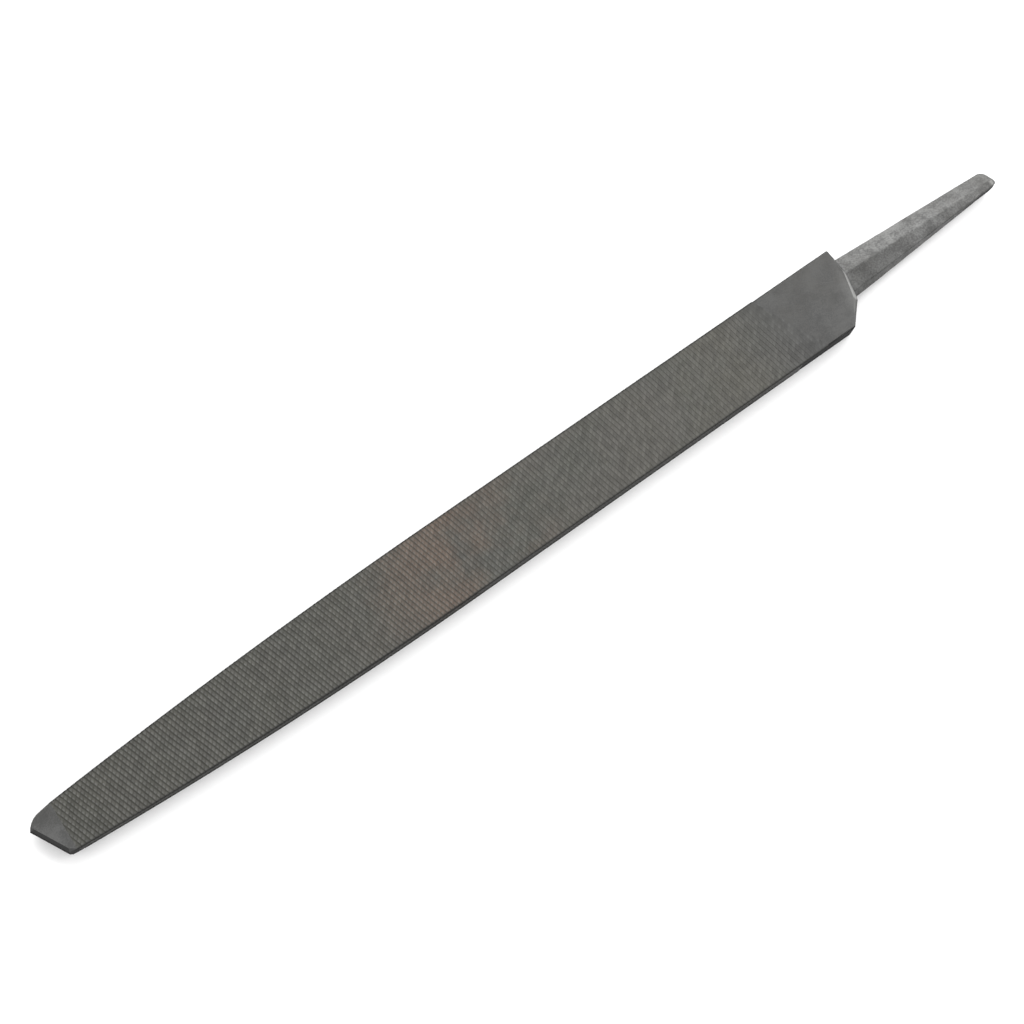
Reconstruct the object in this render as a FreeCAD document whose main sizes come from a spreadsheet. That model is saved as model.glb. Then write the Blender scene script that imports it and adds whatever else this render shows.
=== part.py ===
import FreeCAD, Part
import math
import os
import Sketcher

# A flat file for metalwork, lying on its lower face. X runs along its length towards the tang,
# Y across its width and Z up. Left and right are as seen by someone who holds the tang with the
# point ahead, so the right edge is at +Y. The origin is under the middle of the whole tool.
# The real file is one forging. It is divided here into the zones that have names of their own.

DIMENSIONS = {
    # blade
    "blade_length": 254,        # heel shoulder to the furthest corner of the point
    "blade_width": 22,
    "blade_thick": 5.5,
    "taper_run": 122,           # length over which the blade narrows and thins to the point
    "thin_drop": 0.55,          # what each face falls over that length
    # point
    "point_length": 7.7,        # smooth length before the first teeth
    "point_left": 6.05,         # half widths where the teeth start
    "point_right": 7.3,
    "nose_left": 5.9,           # the end is slanted, and its left corner lies further back
    "nose_left_setback": 5.3,
    "nose_right": 4.1,          # the right corner is rounded in
    "nose_round_right": 6.95,
    "nose_round_run": 4.5,
    "nose_round_radius": 5.5,
    # teeth
    "face_cut_depth": 0.6,      # thickness of the tooth layers on the two faces
    "edge_cut_depth": 0.4,      # and on the two narrow edges
    "cut_setback": 22,          # smooth length at the heel, on the centre line
    "cut_slant": 4.5,           # how far the last row of teeth leans from square, at each edge
    # heel
    "shoulder_flat": 3.2,       # from here to the right edge the shoulder is square
    "shoulder_left": 5,         # the left shoulder is cut back in straight steps
    "shoulder_setback": 2.4,
    "shoulder_mid_left": 7.9,
    "shoulder_mid_setback": 5.3,
    "corner_setback": 8.3,
    "shoulder_bevel": 1.1,
    # tang: a six-sided section, wider and thicker at its root than at its end
    "tang_length": 53,
    "tang_start": 1.2,          # where the tang leaves the heel's root block
    "root_inside": 8,           # how far the root block reaches into the heel
    "root_left": 3.9,
    "root_facet_left": 2.6,
    "root_facet_right": 3.0,
    "root_right": 8.3,
    "root_low": 0.6,
    "root_mid": 2.6,
    "root_high": 4.9,
    "end_left": 0.7,
    "end_facet_left": 0.5,
    "end_facet_right": 1.3,
    "end_right": 5.5,
    "end_low": 1.1,
    "end_mid": 2.7,
    "end_high": 4.4,
    "blunt_run": 2.6,           # the end is blunt: over this length it closes in all round
    "blunt_inset": 0.7,
}

doc = FreeCAD.newDocument("flat_file")
sheet = doc.addObject("Spreadsheet::Sheet", "dims")
for row, (alias, size) in enumerate(DIMENSIONS.items(), start=1):
    sheet.set(f"A{row}", alias)
    sheet.set(f"B{row}", str(size))
    sheet.setAlias(f"B{row}", alias)
doc.recompute()


def arc_radius(run, drop):
    """Radius of the arc that leaves a straight line smoothly and falls by drop over run."""
    return f"((({run}) ^ 2 + ({drop}) ^ 2) / (2 * ({drop})))"


# Stations and sizes as expressions on the sheet. The whole tool is centred on X = 0.
HEEL = "(dims.blade_length - dims.tang_length) / 2"
NOSE = "-(dims.blade_length + dims.tang_length) / 2"
TAPER = f"{NOSE} + dims.taper_run"
CUT_START = f"{NOSE} + dims.point_length"
CUT_END = f"{HEEL} - dims.cut_setback"
CORE_END = f"{CUT_END} - dims.cut_slant"
HALF_WIDTH = "dims.blade_width / 2"
FACE = "dims.blade_thick / 2"
NOSE_FACE = f"({FACE} - dims.thin_drop)"
EDGE_RUN = "dims.taper_run - dims.point_length"
LEFT_ARC = arc_radius(EDGE_RUN, f"{HALF_WIDTH} - dims.point_left")
RIGHT_ARC = arc_radius(EDGE_RUN, f"{HALF_WIDTH} - dims.point_right")
FACE_ARC = arc_radius("dims.taper_run", "dims.thin_drop")


def add_edge(sketch, start, end, radius):
    """Add an edge of an outline. A positive radius bows it to the right of its direction."""
    if not radius:
        return sketch.addGeometry(Part.LineSegment(start, end), False)
    chord = end - start
    sagitta = abs(radius) - math.sqrt(radius ** 2 - chord.Length ** 2 / 4)
    right = FreeCAD.Vector(chord.y, -chord.x, 0).normalize()
    middle = (start + end) / 2 + right * math.copysign(sagitta, radius)
    return sketch.addGeometry(Part.Arc(start, middle, end), False)


def draw_outline(sketch, corners):
    """Draw a closed outline and bind each of its corners and radii to the sheet.

    A corner is (x, y), or (x, y, radius) where an arc leaves it, all as expressions.
    """
    def value(expression):
        return float(sketch.evalExpression(f"1.0 * ({expression})"))

    count = len(corners)
    points = [FreeCAD.Vector(value(corner[0]), value(corner[1]), 0) for corner in corners]
    radii = [value(corner[2]) if len(corner) > 2 else 0 for corner in corners]
    edges = [add_edge(sketch, points[i], points[(i + 1) % count], radii[i]) for i in range(count)]
    # The sketch stores arcs anticlockwise, so one that bows the other way has its ends swapped.
    starts = [2 if radius < 0 else 1 for radius in radii]
    for i in range(count):
        after = (i + 1) % count
        sketch.addConstraint(Sketcher.Constraint("Coincident", edges[i], 3 - starts[i],
                                                 edges[after], starts[after]))
    for i, corner in enumerate(corners):
        bind(sketch, Sketcher.Constraint("DistanceX", edges[i], starts[i], points[i].x), corner[0])
        bind(sketch, Sketcher.Constraint("DistanceY", edges[i], starts[i], points[i].y), corner[1])
        if radii[i]:
            size = abs(radii[i])
            bind(sketch, Sketcher.Constraint("Radius", edges[i], size), f"abs({corner[2]})")


def bind(sketch, constraint, expression):
    """Add a dimension to a sketch and bind it to the sheet."""
    index = sketch.addConstraint(constraint)
    sketch.setExpression(f"Constraints[{index}]", expression)


def prism(name, corners, rotation, length):
    """Extrude an outline from the blade's middle plane, by half of a length each way."""
    sketch = doc.addObject("Sketcher::SketchObject", f"{name}_outline")
    sketch.Placement = FreeCAD.Placement(FreeCAD.Vector(), rotation)
    sketch.setExpression("Placement.Base.z", FACE)
    draw_outline(sketch, corners)
    solid = doc.addObject("Part::Extrusion", f"{name}_prism")
    solid.Base = sketch
    solid.DirMode = "Normal"
    solid.Solid = True
    solid.Symmetric = True
    solid.setExpression("LengthFwd", length)
    return solid


def blade_zone(name, plan, side):
    """Make a zone of the blade: what its plan view and its side view have in common."""
    upright = FreeCAD.Rotation(FreeCAD.Vector(1, 0, 0), 90)
    zone = doc.addObject("Part::Common", name)
    zone.Label = name
    zone.Base = prism(f"{name}_plan", plan, FreeCAD.Rotation(), "2 * dims.blade_thick")
    zone.Tool = prism(f"{name}_side", side, upright, "2 * dims.blade_width")
    return zone


def blade_plan(inset, left_end, right_end):
    """Toothed length of the blade from above, narrowed by an inset along both edges."""
    return [
        (left_end, f"-({HALF_WIDTH} - {inset})"),
        (right_end, f"{HALF_WIDTH} - {inset}"),
        (TAPER, f"{HALF_WIDTH} - {inset}", RIGHT_ARC),
        (CUT_START, f"dims.point_right - {inset}"),
        (CUT_START, f"-(dims.point_left - {inset})", LEFT_ARC),
        (TAPER, f"-({HALF_WIDTH} - {inset})"),
    ]


def blade_side(inset):
    """Whole blade from the side, thinned by an inset on both faces."""
    return [
        (HEEL, f"-({FACE} - {inset})"),
        (HEEL, f"{FACE} - {inset}"),
        (TAPER, f"{FACE} - {inset}", FACE_ARC),
        (NOSE, f"{NOSE_FACE} - {inset}"),
        (NOSE, f"-({NOSE_FACE} - {inset})", FACE_ARC),
        (TAPER, f"-({FACE} - {inset})"),
    ]


def layer(end, far, side, outer, outer_tip, arc, depth):
    """Thin layer under one long side of the blade; side is 1 or -1 and says which."""
    return [
        (end, f"{side} * ({outer} - {depth})"),
        (end, f"{side} * {outer}"),
        (TAPER, f"{side} * {outer}", f"{side} * {arc}"),
        (far, f"{side} * {outer_tip}"),
        (far, f"{side} * ({outer_tip} - {depth})", f"-{side} * {arc}"),
        (TAPER, f"{side} * ({outer} - {depth})"),
    ]


def edge_cut(name, side, half_width_at_point, arc):
    """Tooth layer on a narrow edge, between the layers on the two faces."""
    strip = layer(CORE_END, CUT_START, side, HALF_WIDTH, half_width_at_point, arc,
                  "dims.edge_cut_depth")
    return blade_zone(name, strip, blade_side("dims.face_cut_depth"))


def face_cut(name, side):
    """Tooth layer on a face. Its last row leans the other way on the lower face."""
    plan = blade_plan("0", f"{CUT_END} + {side} * dims.cut_slant",
                      f"{CUT_END} - {side} * dims.cut_slant")
    return blade_zone(name, plan, layer(HEEL, NOSE, side, FACE, NOSE_FACE, FACE_ARC,
                                        "dims.face_cut_depth"))


def origin_plane(body, role):
    """Find one of a body's own origin planes."""
    return next(plane for plane in body.Origin.OriginFeatures if plane.Role == role)


def body_sketch(body, name, role, offset, corners):
    """Draw an outline on one of a body's origin planes, moved along the plane's normal."""
    sketch = body.newObject("Sketcher::SketchObject", name)
    sketch.AttachmentSupport = [(origin_plane(body, role), "")]
    sketch.MapMode = "FlatFace"
    sketch.setExpression("AttachmentOffset.Base.z", offset)
    draw_outline(sketch, corners)
    return sketch


def pad(body, name, sketch, length, reverse=False):
    """Pad a sketch by a length bound to the sheet."""
    feature = body.newObject("PartDesign::Pad", name)
    feature.Profile = sketch
    feature.Reversed = reverse
    feature.setExpression("Length", length)
    return feature


def pocket(body, name, sketch, depth, reverse):
    """Cut a sketch into a body, and make sure that it removes something."""
    doc.recompute()
    before = body.Shape.Volume
    feature = body.newObject("PartDesign::Pocket", name)
    feature.Profile = sketch
    feature.Reversed = reverse
    feature.setExpression("Length", depth)
    doc.recompute()
    assert body.Shape.Volume < before, f"{name} cuts nothing"
    return feature


def tang_section(station, inset="0"):
    """Six corners of the tang's section, at its root or at its end, with an inset all round."""
    low = f"dims.{station}_low + {inset}"
    middle = f"dims.{station}_mid"
    high = f"dims.{station}_high - {inset}"
    return [
        (f"-(dims.{station}_facet_left - {inset})", low),
        (f"dims.{station}_facet_right - {inset}", low),
        (f"dims.{station}_right - {inset}", middle),
        (f"dims.{station}_facet_right - {inset}", high),
        (f"-(dims.{station}_facet_left - {inset})", high),
        (f"-(dims.{station}_left - {inset})", middle),
    ]


def make_heel():
    """Smooth end of the blade: square right shoulder, cut-back left one, and the tang's root."""
    body = doc.addObject("PartDesign::Body", "heel")
    plan = body_sketch(body, "heel_plan", "XY_Plane", "0", [
        (CORE_END, f"-{HALF_WIDTH}"),
        (f"{HEEL} - dims.corner_setback", f"-{HALF_WIDTH}"),
        (f"{HEEL} - dims.shoulder_mid_setback", "-dims.shoulder_mid_left"),
        (f"{HEEL} - dims.shoulder_setback", "-dims.shoulder_left"),
        (HEEL, "dims.shoulder_flat"),
        (HEEL, HALF_WIDTH),
        (CORE_END, HALF_WIDTH),
    ])
    pad(body, "heel_pad", plan, "dims.blade_thick")
    # The last row of teeth leans, so each tooth layer enters the heel as a thin wedge.
    for face, side, height in (("upper", "1", "dims.blade_thick"), ("lower", "-1", "0")):
        wedge = body_sketch(body, f"{face}_wedge", "XY_Plane", height, [
            (CORE_END, f"-{side} * {HALF_WIDTH}"),
            (f"{CUT_END} + dims.cut_slant", f"-{side} * {HALF_WIDTH}"),
            (CORE_END, f"{side} * {HALF_WIDTH}"),
        ])
        pocket(body, f"{face}_wedge_cut", wedge, "dims.face_cut_depth", face == "lower")
    bevel = body.newObject("PartDesign::Chamfer", "shoulder_bevels")
    bevel.Base = (body.Group[-2], shoulder_edges(body.Shape))
    bevel.setExpression("Size", "dims.shoulder_bevel")
    doc.recompute()
    root = body_sketch(body, "root_section", "YZ_Plane", f"{HEEL} + dims.tang_start",
                       tang_section("root"))
    pad(body, "tang_root", root, "dims.tang_start + dims.root_inside", reverse=True)


def shoulder_edges(shape):
    """Names of the level edges along the cut-back left shoulder, above and below."""
    heel_end = float(sheet.evalExpression(HEEL))
    names = []
    for number, edge in enumerate(shape.Edges, start=1):
        low, high = sorted((vertex.Point for vertex in edge.Vertexes), key=lambda point: point.y)
        behind = min(low.x, high.x) > heel_end - sheet.corner_setback - 0.01
        if behind and high.y < sheet.shoulder_flat + 0.01 and high.z == low.z:
            names.append(f"Edge{number}")
    return names


def make_tang():
    """Tapered six-sided prong with a blunt end."""
    body = doc.addObject("PartDesign::Body", "tang")
    root = body_sketch(body, "tang_root_section", "YZ_Plane", f"{HEEL} + dims.tang_start",
                       tang_section("root"))
    end = body_sketch(body, "tang_end_section", "YZ_Plane",
                      f"{HEEL} + dims.tang_length - dims.blunt_run", tang_section("end"))
    tip = body_sketch(body, "tang_tip_section", "YZ_Plane", f"{HEEL} + dims.tang_length",
                      tang_section("end", "dims.blunt_inset"))
    loft = body.newObject("PartDesign::AdditiveLoft", "tang_loft")
    loft.Profile = root
    loft.Sections = [end, tip]
    loft.Ruled = True


# Smooth point: its end is slanted, with the left corner set back and the right one rounded in.
blade_zone("point", [
    (CUT_START, "-dims.point_left"),
    (CUT_START, "dims.point_right"),
    (f"{NOSE} + dims.nose_round_run", "dims.nose_round_right", "dims.nose_round_radius"),
    (NOSE, "dims.nose_right"),
    (f"{NOSE} + dims.nose_left_setback", "-dims.nose_left"),
], blade_side("0"))
blade_zone("blade_core", blade_plan("dims.edge_cut_depth", CORE_END, CORE_END),
           blade_side("dims.face_cut_depth"))
face_cut("upper_face_cut", "1")
face_cut("lower_face_cut", "-1")
edge_cut("left_edge_cut", "-1", "dims.point_left", LEFT_ARC)
edge_cut("right_edge_cut", "1", "dims.point_right", RIGHT_ARC)
make_heel()
make_tang()
doc.recompute()

PARTS = ("point", "blade_core", "upper_face_cut", "lower_face_cut", "left_edge_cut",
         "right_edge_cut", "heel", "tang")

for item in doc.Objects:
    if "Invalid" in item.State or "Error" in item.State:
        raise RuntimeError(f"{item.Name} failed: {item.State}")

os.makedirs("parts", exist_ok=True)
for name in PARTS:
    shape = doc.getObject(name).Shape
    if shape.isNull() or not shape.isValid() or len(shape.Solids) != 1:
        raise RuntimeError(f"{name} is not one valid solid")
for name in PARTS:
    shape = doc.getObject(name).Shape
    shape.exportStep(f"parts/{name}.step")
    box = shape.BoundBox
    print(f"{name}: {shape.Volume:.1f} mm3, X {box.XMin:.2f} to {box.XMax:.2f}, "
          f"Y {box.YMin:.2f} to {box.YMax:.2f}, Z {box.ZMin:.2f} to {box.ZMax:.2f}")
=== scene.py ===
"""Looks of a flat file: real tooth geometry, worn steel and a forged tang around the frame."""
import logging
import math
from collections.abc import Callable, Sequence
from dataclasses import dataclass, field
from enum import Enum
from typing import Any

import bmesh
import bpy
from mathutils import Matrix, Vector, noise


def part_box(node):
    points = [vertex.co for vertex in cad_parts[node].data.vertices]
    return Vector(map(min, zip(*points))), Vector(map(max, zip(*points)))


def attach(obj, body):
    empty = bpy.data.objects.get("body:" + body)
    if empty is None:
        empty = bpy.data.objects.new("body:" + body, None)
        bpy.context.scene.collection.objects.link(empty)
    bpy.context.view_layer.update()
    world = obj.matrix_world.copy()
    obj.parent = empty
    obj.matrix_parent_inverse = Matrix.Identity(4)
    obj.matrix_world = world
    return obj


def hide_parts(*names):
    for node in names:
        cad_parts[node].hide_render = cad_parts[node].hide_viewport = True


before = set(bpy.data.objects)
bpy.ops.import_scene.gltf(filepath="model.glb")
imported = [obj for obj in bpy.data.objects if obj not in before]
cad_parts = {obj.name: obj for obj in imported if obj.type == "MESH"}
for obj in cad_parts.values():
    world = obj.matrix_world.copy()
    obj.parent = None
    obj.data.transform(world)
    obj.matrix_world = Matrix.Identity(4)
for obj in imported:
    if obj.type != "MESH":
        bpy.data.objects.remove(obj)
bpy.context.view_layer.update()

MM = 0.001
BODY = "root"
log = logging.getLogger("flat_file")

Socket = bpy.types.NodeSocket
Colour = tuple[float, float, float, float]


class Side(Enum):
    """A face of the blade: the sign that turns the upper face into this one."""

    UPPER = 1
    LOWER = -1


class Edge(Enum):
    """A narrow edge of the blade: the sign of Y on its side."""

    RIGHT = 1
    LEFT = -1


# ---------------------------------------------------------------- node building


class Graph:
    """A node tree under construction, for geometry and for materials alike."""

    def __init__(self, tree: bpy.types.NodeTree) -> None:
        """Wrap a node tree."""
        self.tree = tree

    def add(self, kind: str, feeds: dict[str | int, Any] | None = None,
            **settings: Any) -> bpy.types.Node:
        """Add a node.

        Args:
            kind: The node's type name.
            feeds: Values or sockets for its inputs, by input name or number.
            settings: The node's own properties.

        Returns:
            The new node.
        """
        node = self.tree.nodes.new(kind)
        for name, value in settings.items():
            setattr(node, name, value)
        for key, value in (feeds or {}).items():
            self.feed(node.inputs[key], value)
        return node

    def feed(self, socket: Socket, value: Any) -> None:
        """Link a socket to another, or set its value.

        Args:
            socket: The input to feed.
            value: A socket or a plain value.
        """
        if isinstance(value, Socket):
            self.tree.links.new(value, socket)
        else:
            socket.default_value = value

    def math(self, operation: str, *values: Any) -> Socket:
        """Add a math node for one to three numbers or sockets, and give its result."""
        return self.add("ShaderNodeMath", dict(enumerate(values)), operation=operation).outputs[0]

    def vector(self, x: Any, y: Any, z: Any) -> Socket:
        """Join three numbers or sockets into a vector."""
        return self.add("ShaderNodeCombineXYZ", {0: x, 1: y, 2: z}).outputs[0]

    def split(self, vector: Socket) -> tuple[Socket, Socket, Socket]:
        """Split a vector into its three numbers."""
        return tuple(self.add("ShaderNodeSeparateXYZ", {0: vector}).outputs)

    def smooth_step(self, value: Socket, start: Any, end: Any) -> Socket:
        """Rise smoothly from 0 where value is at start to 1 where it is at end."""
        return self.add("ShaderNodeMapRange", {0: value, 1: start, 2: end},
                        interpolation_type="SMOOTHSTEP").outputs[0]


def new_group(name: str, kind: str, inputs: Sequence[tuple], outputs: Sequence[tuple]) -> tuple:
    """Make an empty node group with named sockets.

    Args:
        name: The group's name.
        kind: GeometryNodeTree or ShaderNodeTree.
        inputs: (name, socket type) or (name, socket type, default) of each input.
        outputs: (name, socket type) of each output.

    Returns:
        The graph, the sockets that bring the inputs in by name, and the output node.
    """
    tree = bpy.data.node_groups.new(name, kind)
    for direction, sockets in (("INPUT", inputs), ("OUTPUT", outputs)):
        for socket_name, socket_type, *default in sockets:
            socket = tree.interface.new_socket(socket_name, in_out=direction,
                                               socket_type=socket_type)
            if default:
                socket.default_value = default[0]
    graph = Graph(tree)
    given = graph.add("NodeGroupInput")
    taken = graph.add("NodeGroupOutput")
    return graph, {socket.name: socket for socket in given.outputs if socket.name}, taken


def run_geometry(tree: bpy.types.NodeTree, name: str, values: dict[str, Any]) -> bpy.types.Mesh:
    """Evaluate a geometry node tree once and keep its result as a plain mesh.

    Args:
        tree: The geometry node tree.
        name: The name of the new mesh.
        values: A value for each of the tree's inputs, by name.

    Returns:
        The mesh, with its modifier gone.
    """
    carrier = bpy.data.objects.new(f"{name}_carrier", bpy.data.meshes.new(f"{name}_seed"))
    bpy.context.scene.collection.objects.link(carrier)
    modifier = carrier.modifiers.new("build", "NODES")
    modifier.node_group = tree
    for item in tree.interface.items_tree:
        if item.in_out == "INPUT" and item.name in values:
            modifier[item.identifier] = values[item.name]
    evaluated = carrier.evaluated_get(bpy.context.evaluated_depsgraph_get())
    mesh = bpy.data.meshes.new_from_object(evaluated)
    mesh.name = name
    carrier.modifiers.clear()
    bpy.data.objects.remove(carrier)
    return mesh


# ---------------------------------------------------------------- the blade's form


@dataclass(frozen=True)
class BladeForm:
    """Sizes of the blade, read from the frame where it has them. All lengths in metres."""

    taper_run: float = 122 * MM
    thin_drop: float = 0.55 * MM
    root_step: float = 1.2 * MM
    cut_slant: float = 4.5 * MM
    nose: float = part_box("point")[0].x
    cut_start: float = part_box("point")[1].x
    core_end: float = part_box("blade_core")[1].x
    cut_layer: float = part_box("blade_core")[0].z
    shoulder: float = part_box("heel")[1].x - root_step
    half_width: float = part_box("heel")[1].y
    thick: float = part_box("heel")[1].z
    point_right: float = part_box("point")[1].y
    point_left: float = -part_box("point")[0].y

    @property
    def taper_start(self) -> float:
        """X where the blade starts to narrow and thin towards the point."""
        return self.nose + self.taper_run

    @property
    def cut_end(self) -> float:
        """X of the last row of teeth on the centre line."""
        return self.core_end + self.cut_slant

    @property
    def face_arc(self) -> float:
        """Radius of the arc along which a face falls towards the point."""
        return arc_radius(self.taper_run, self.thin_drop)

    def edge_arc(self, edge: Edge) -> float:
        """Radius of the arc along which an edge runs in towards the point."""
        drop = self.half_width - (self.point_right if edge is Edge.RIGHT else self.point_left)
        return arc_radius(self.taper_start - self.cut_start, drop)

    def face_height(self, x: float) -> float:
        """Height of the upper face at a place along the blade."""
        return self.thick - arc_drop(self.taper_start - x, self.face_arc)


def arc_radius(run: float, drop: float) -> float:
    """Radius of the arc that leaves a line smoothly and falls by drop over run."""
    return (run ** 2 + drop ** 2) / (2 * drop)


def arc_drop(distance: float, radius: float) -> float:
    """How far an arc has fallen away from its line at a distance from its start."""
    return radius - math.sqrt(radius ** 2 - max(distance, 0.0) ** 2)


# ---------------------------------------------------------------- teeth


@dataclass(frozen=True)
class ToothShape:
    """One chisel-cut tooth, as (place, height) pairs between 0 and 1.

    along runs from the gullet in front of a tooth, up its cutting face and down its back. across
    runs from one crossing cut to the next.
    """

    along: tuple[tuple[float, float], ...]
    across: tuple[tuple[float, float], ...]

    def patch(self, row_step: Vector, lane_step: Vector) -> bpy.types.Object:
        """Build the tooth as a small grid that joins on to its neighbours.

        Args:
            row_step: Step to the next tooth over the row's gullet.
            lane_step: Step to the next tooth along the row.

        Returns:
            A hidden object whose points carry their height as crest.
        """
        mesh = bpy.data.meshes.new("tooth_patch")
        places = [(a, b) for a in self.along for b in self.across]
        points = [a[0] * row_step + b[0] * lane_step for a, b in places]
        width = len(self.across)
        corners = [i * width + j for i in range(len(self.along) - 1) for j in range(width - 1)]
        mesh.from_pydata(points, [], [(n, n + 1, n + width + 1, n + width) for n in corners])
        crest = mesh.attributes.new("crest", "FLOAT", "POINT")
        crest.data.foreach_set("value", [min(a[1], b[1]) for a, b in places])
        return bpy.data.objects.new("tooth_patch", mesh)


DOUBLE_CUT = ToothShape(
    along=((0, 0), (0.12, 0.95), (0.24, 1), (0.6, 0.55), (1, 0)),
    across=((0, 0.32), (0.18, 0.82), (0.42, 1), (0.72, 0.9), (1, 0.32)),
)
SINGLE_CUT = ToothShape(
    along=((0, 0), (0.12, 0.97), (0.24, 1), (0.6, 0.5), (1, 0)),
    across=((0, 1), (0.25, 1), (0.5, 1), (0.75, 1), (1, 1)),
)


# How the teeth start and end along a surface, get shallower towards the heel and are worn.
RUN_IN = 0.9 * MM
RUN_OUT = 9 * MM
DEPTH_LOST = 0.6
DEPTH_WORN = 0.35
# A dark band of painted shade runs along each toothed outline: full within the outer distance,
# gone at the inner one.
RIM_INNER = 0.6 * MM
RIM_OUTER = 0.1 * MM
# How far teeth are placed beyond the outline before they are trimmed.
MARGIN = 3 * MM
# How often the rows wander, the crests are ragged and the wear changes in a metre.
WANDER_SCALE = 90.0
BURR_SCALE = 1300.0
WEAR_SCALE = 420.0


def teeth_tree() -> bpy.types.NodeTree:
    """Build the geometry nodes that cut a long surface of the blade into teeth.

    They work in a frame of the surface: X along the blade, Y across the surface and Z out of it.
    One tooth is placed at every crossing of a row and a lane, the teeth are joined, trimmed to
    the surface's outline, and sunk below it by their depth.

    Returns:
        The node tree.
    """
    lengths = ("Cut start", "Cut end", "End slant", "Taper start", "Reach", "Plus arc",
               "Minus arc", "Face height", "Face arc", "Tooth depth", "Wander", "Burr",
               "Lean at point", "Lean at heel")
    graph, given, taken = new_group("cut_teeth", "GeometryNodeTree", [
        ("Tooth", "NodeSocketObject"), ("Rows", "NodeSocketInt"), ("Lanes", "NodeSocketInt"),
        ("Long step", "NodeSocketVector"), ("Lane step", "NodeSocketVector"),
        ("First tooth", "NodeSocketVector"), ("Seed", "NodeSocketFloat"),
        ("Material", "NodeSocketMaterial"),
        *((name, "NodeSocketFloat") for name in lengths),
    ], [("Geometry", "NodeSocketGeometry")])

    def place_teeth() -> Socket:
        """Put a tooth at every crossing and join them into one surface.

        Returns:
            The joined teeth.
        """
        count = graph.math("MULTIPLY", given["Rows"], given["Lanes"])
        index = graph.add("GeometryNodeInputIndex").outputs[0]
        row = graph.math("FLOOR", graph.math("DIVIDE", index, given["Lanes"]))
        lane = graph.math("SUBTRACT", index, graph.math("MULTIPLY", row, given["Lanes"]))
        along = scaled(given["Long step"], row)
        across = scaled(given["Lane step"], lane)
        place = summed(given["First tooth"], summed(along, across))
        points = graph.add("GeometryNodePoints", {"Count": count, "Position": place})
        tone = graph.add("ShaderNodeTexWhiteNoise", {"Vector": place, "W": given["Seed"]},
                         noise_dimensions="4D")
        toned = stored(points.outputs[0], "tooth_tone", tone.outputs[0])
        near = graph.add("GeometryNodeDeleteGeometry",
                         {"Geometry": toned, "Selection": outside(MARGIN)}, domain="POINT")
        tooth = graph.add("GeometryNodeObjectInfo", {"Object": given["Tooth"]})
        spread = graph.add("GeometryNodeInstanceOnPoints",
                           {"Points": near.outputs[0], "Instance": tooth.outputs["Geometry"]})
        real = graph.add("GeometryNodeRealizeInstances", {"Geometry": spread.outputs[0]})
        return graph.add("GeometryNodeMergeByDistance",
                         {"Geometry": real.outputs[0], "Distance": 0.004 * MM}).outputs[0]

    def stored(geometry: Socket, name: str, value: Socket, kind: str = "FLOAT") -> Socket:
        """Keep a value on every point of a geometry under a name."""
        feeds = {"Geometry": geometry, "Name": name, "Value": value}
        return graph.add("GeometryNodeStoreNamedAttribute", feeds, data_type=kind).outputs[0]

    def scaled(vector: Socket, factor: Any) -> Socket:
        """Scale a vector by a factor."""
        return graph.add("ShaderNodeVectorMath", {0: vector, "Scale": factor},
                         operation="SCALE").outputs[0]

    def summed(first: Any, second: Any) -> Socket:
        """Add two vectors."""
        return graph.add("ShaderNodeVectorMath", {0: first, 1: second}).outputs[0]

    def position() -> tuple[Socket, Socket, Socket]:
        """Read the three coordinates of each point."""
        return graph.split(graph.add("GeometryNodeInputPosition").outputs[0])

    def fall(x: Socket, arc: Socket) -> Socket:
        """How far an arc has fallen from its line at x, as arc_drop gives it.

        Args:
            x: Place along the blade.
            arc: The arc's radius.

        Returns:
            The fall.
        """
        run = graph.math("MAXIMUM", graph.math("SUBTRACT", given["Taper start"], x), 0.0)
        square = graph.math("SUBTRACT", graph.math("MULTIPLY", arc, arc),
                            graph.math("MULTIPLY", run, run))
        return graph.math("SUBTRACT", arc, graph.math("SQRT", square))

    def limits(x: Socket, y: Socket) -> tuple[Socket, Socket, Socket]:
        """Find the outline beside a place.

        Args:
            x: Place along the blade.
            y: Place across the surface.

        Returns:
            The surface's end at that y, and its lowest and highest y at that x.
        """
        end = graph.math("SUBTRACT", given["Cut end"], graph.math("MULTIPLY", y,
                                                                 given["End slant"]))
        high = graph.math("SUBTRACT", given["Reach"], fall(x, given["Plus arc"]))
        low = graph.math("SUBTRACT", fall(x, given["Minus arc"]), given["Reach"])
        return end, low, high

    def outside(margin: float) -> Socket:
        """Tell whether a point lies outside the surface's outline.

        Args:
            margin: How far outside it has to be.

        Returns:
            More than 0 outside, and 0 inside.
        """
        x, y, _ = position()
        end, low, high = limits(x, y)
        tests = (graph.math("LESS_THAN", x, graph.math("SUBTRACT", given["Cut start"], margin)),
                 graph.math("GREATER_THAN", x, graph.math("ADD", end, margin)),
                 graph.math("LESS_THAN", y, graph.math("SUBTRACT", low, margin)),
                 graph.math("GREATER_THAN", y, graph.math("ADD", high, margin)))
        return graph.math("MAXIMUM", graph.math("MAXIMUM", *tests[:2]),
                          graph.math("MAXIMUM", *tests[2:]))

    def moved(geometry: Socket, place: Socket) -> Socket:
        """Move every point of a geometry to a new place."""
        return graph.add("GeometryNodeSetPosition",
                         {"Geometry": geometry, "Position": place}).outputs[0]

    def uneven(scale: float) -> tuple[Socket, Socket, Socket]:
        """Read three smooth random numbers around 0 at each point.

        Args:
            scale: How many times they change in a metre.

        Returns:
            The three numbers.
        """
        texture = graph.add("ShaderNodeTexNoise", {"W": given["Seed"], "Scale": scale,
                                                   "Detail": 1.0}, noise_dimensions="4D")
        graph.feed(texture.inputs["Vector"], graph.add("GeometryNodeInputPosition").outputs[0])
        centred = summed(texture.outputs["Color"], (-0.5, -0.5, -0.5))
        return graph.split(centred)

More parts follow.
